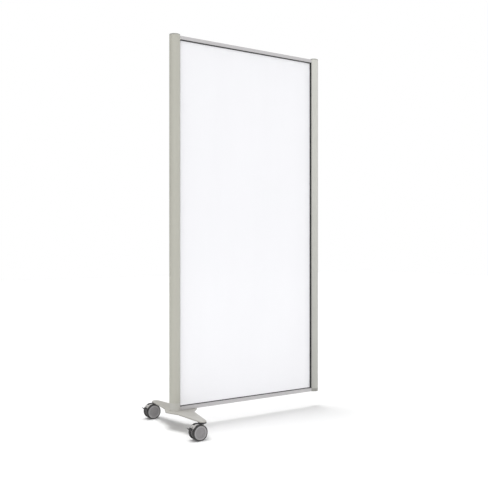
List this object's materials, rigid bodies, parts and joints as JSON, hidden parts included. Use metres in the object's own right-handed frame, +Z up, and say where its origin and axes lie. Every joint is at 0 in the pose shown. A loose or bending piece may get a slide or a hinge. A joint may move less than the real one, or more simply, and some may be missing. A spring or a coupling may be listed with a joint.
{
  "type": "rolling whiteboard",
  "caption": "Tall double-sided whiteboard panel in a rounded metal frame, on a cast foot with swivelling, braked casters at one post; the other post links to a neighbour.",
  "frame": {"origin": "on the floor, below the middle of the object's box", "axes": "+X along the board from the footed post to the linking post, +Y through the board from the writing side shown to the other one, +Z up"},
  "size_m": [0.946, 0.534, 1.9205],
  "materials": {
    "post_paint": "satin powder coat, warm light grey",
    "rail_paint": "satin powder coat, light grey",
    "cap_plastic": "moulded caps, warm light grey",
    "writing_enamel": "gloss white vitreous enamel on steel",
    "board_core": "stiff core",
    "gasket_rubber": "black extruded glazing strip",
    "foot_paint": "satin powder coat over a casting",
    "plug_aluminium": "machined block",
    "zinc_steel": "zinc-plated steel",
    "hood_plastic": "moulded nylon, light grey",
    "hub_plastic": "moulded nylon, mid grey",
    "cover_plastic": "moulded cover, mid grey",
    "tyre_rubber": "soft dark tread",
    "pedal_plastic": "moulded nylon, near black"
  },
  "bodies": {
    "root": {"left_post": "post_paint", "right_post": "post_paint", "top_rail": "rail_paint", "bottom_rail": "rail_paint", "left_top_corner": "cap_plastic", "right_top_corner": "cap_plastic", "right_bottom_corner": "cap_plastic", "corner_screws": "zinc_steel", "front_writing_sheet": "writing_enamel", "board_core": "board_core", "rear_writing_sheet": "writing_enamel", "left_gasket": "gasket_rubber", "right_gasket": "gasket_rubber", "top_gasket": "gasket_rubber", "bottom_gasket": "gasket_rubber", "foot_casting": "foot_paint", "post_plug": "plug_aluminium", "post_screws": "zinc_steel", "foot_bolt": "zinc_steel", "foot_washer": "zinc_steel", "rail_screws": "zinc_steel", "front_stem": "zinc_steel", "front_swivel_washer": "pedal_plastic", "front_stem_clip": "zinc_steel", "rear_stem": "zinc_steel", "rear_swivel_washer": "pedal_plastic", "rear_stem_clip": "zinc_steel"},
    "front_caster": {"front_caster_hood": "hood_plastic", "front_axle": "zinc_steel", "front_axle_clips": "zinc_steel", "front_brake_pin": "zinc_steel"},
    "front_near_wheel": {"front_near_hub": "hub_plastic", "front_near_tyre": "tyre_rubber", "front_near_cover": "cover_plastic"},
    "front_far_wheel": {"front_far_hub": "hub_plastic", "front_far_tyre": "tyre_rubber", "front_far_cover": "cover_plastic"},
    "front_brake": {"front_brake_pedal": "pedal_plastic"},
    "rear_caster": {"rear_caster_hood": "hood_plastic", "rear_axle": "zinc_steel", "rear_axle_clips": "zinc_steel", "rear_brake_pin": "zinc_steel"},
    "rear_near_wheel": {"rear_near_hub": "hub_plastic", "rear_near_tyre": "tyre_rubber", "rear_near_cover": "cover_plastic"},
    "rear_far_wheel": {"rear_far_hub": "hub_plastic", "rear_far_tyre": "tyre_rubber", "rear_far_cover": "cover_plastic"},
    "rear_brake": {"rear_brake_pedal": "pedal_plastic"}
  },
  "joints": [
    {"name": "front_swivel", "type": "hinge", "parent": "root", "child": "front_caster", "pos_m": [-0.39755, -0.242, 0.06], "axis": [0, 0, 1], "continuous": true},
    {"name": "front_near_spin", "type": "hinge", "parent": "front_caster", "child": "front_near_wheel", "pos_m": [-0.41905, -0.242, 0.0375], "axis": [0, 1, 0], "continuous": true},
    {"name": "front_far_spin", "type": "hinge", "parent": "front_caster", "child": "front_far_wheel", "pos_m": [-0.41905, -0.242, 0.0375], "axis": [0, 1, 0], "continuous": true},
    {"name": "front_brake_press", "type": "hinge", "parent": "front_caster", "child": "front_brake", "pos_m": [-0.44105, -0.242, 0.0575], "axis": [0, -1, 0], "range_deg": [0, 13]},
    {"name": "rear_swivel", "type": "hinge", "parent": "root", "child": "rear_caster", "pos_m": [-0.39755, 0.242, 0.06], "axis": [0, 0, 1], "continuous": true},
    {"name": "rear_near_spin", "type": "hinge", "parent": "rear_caster", "child": "rear_near_wheel", "pos_m": [-0.41905, 0.242, 0.0375], "axis": [0, 1, 0], "continuous": true},
    {"name": "rear_far_spin", "type": "hinge", "parent": "rear_caster", "child": "rear_far_wheel", "pos_m": [-0.41905, 0.242, 0.0375], "axis": [0, 1, 0], "continuous": true},
    {"name": "rear_brake_press", "type": "hinge", "parent": "rear_caster", "child": "rear_brake", "pos_m": [-0.44105, 0.242, 0.0575], "axis": [0, -1, 0], "range_deg": [0, 13]}
  ]
}
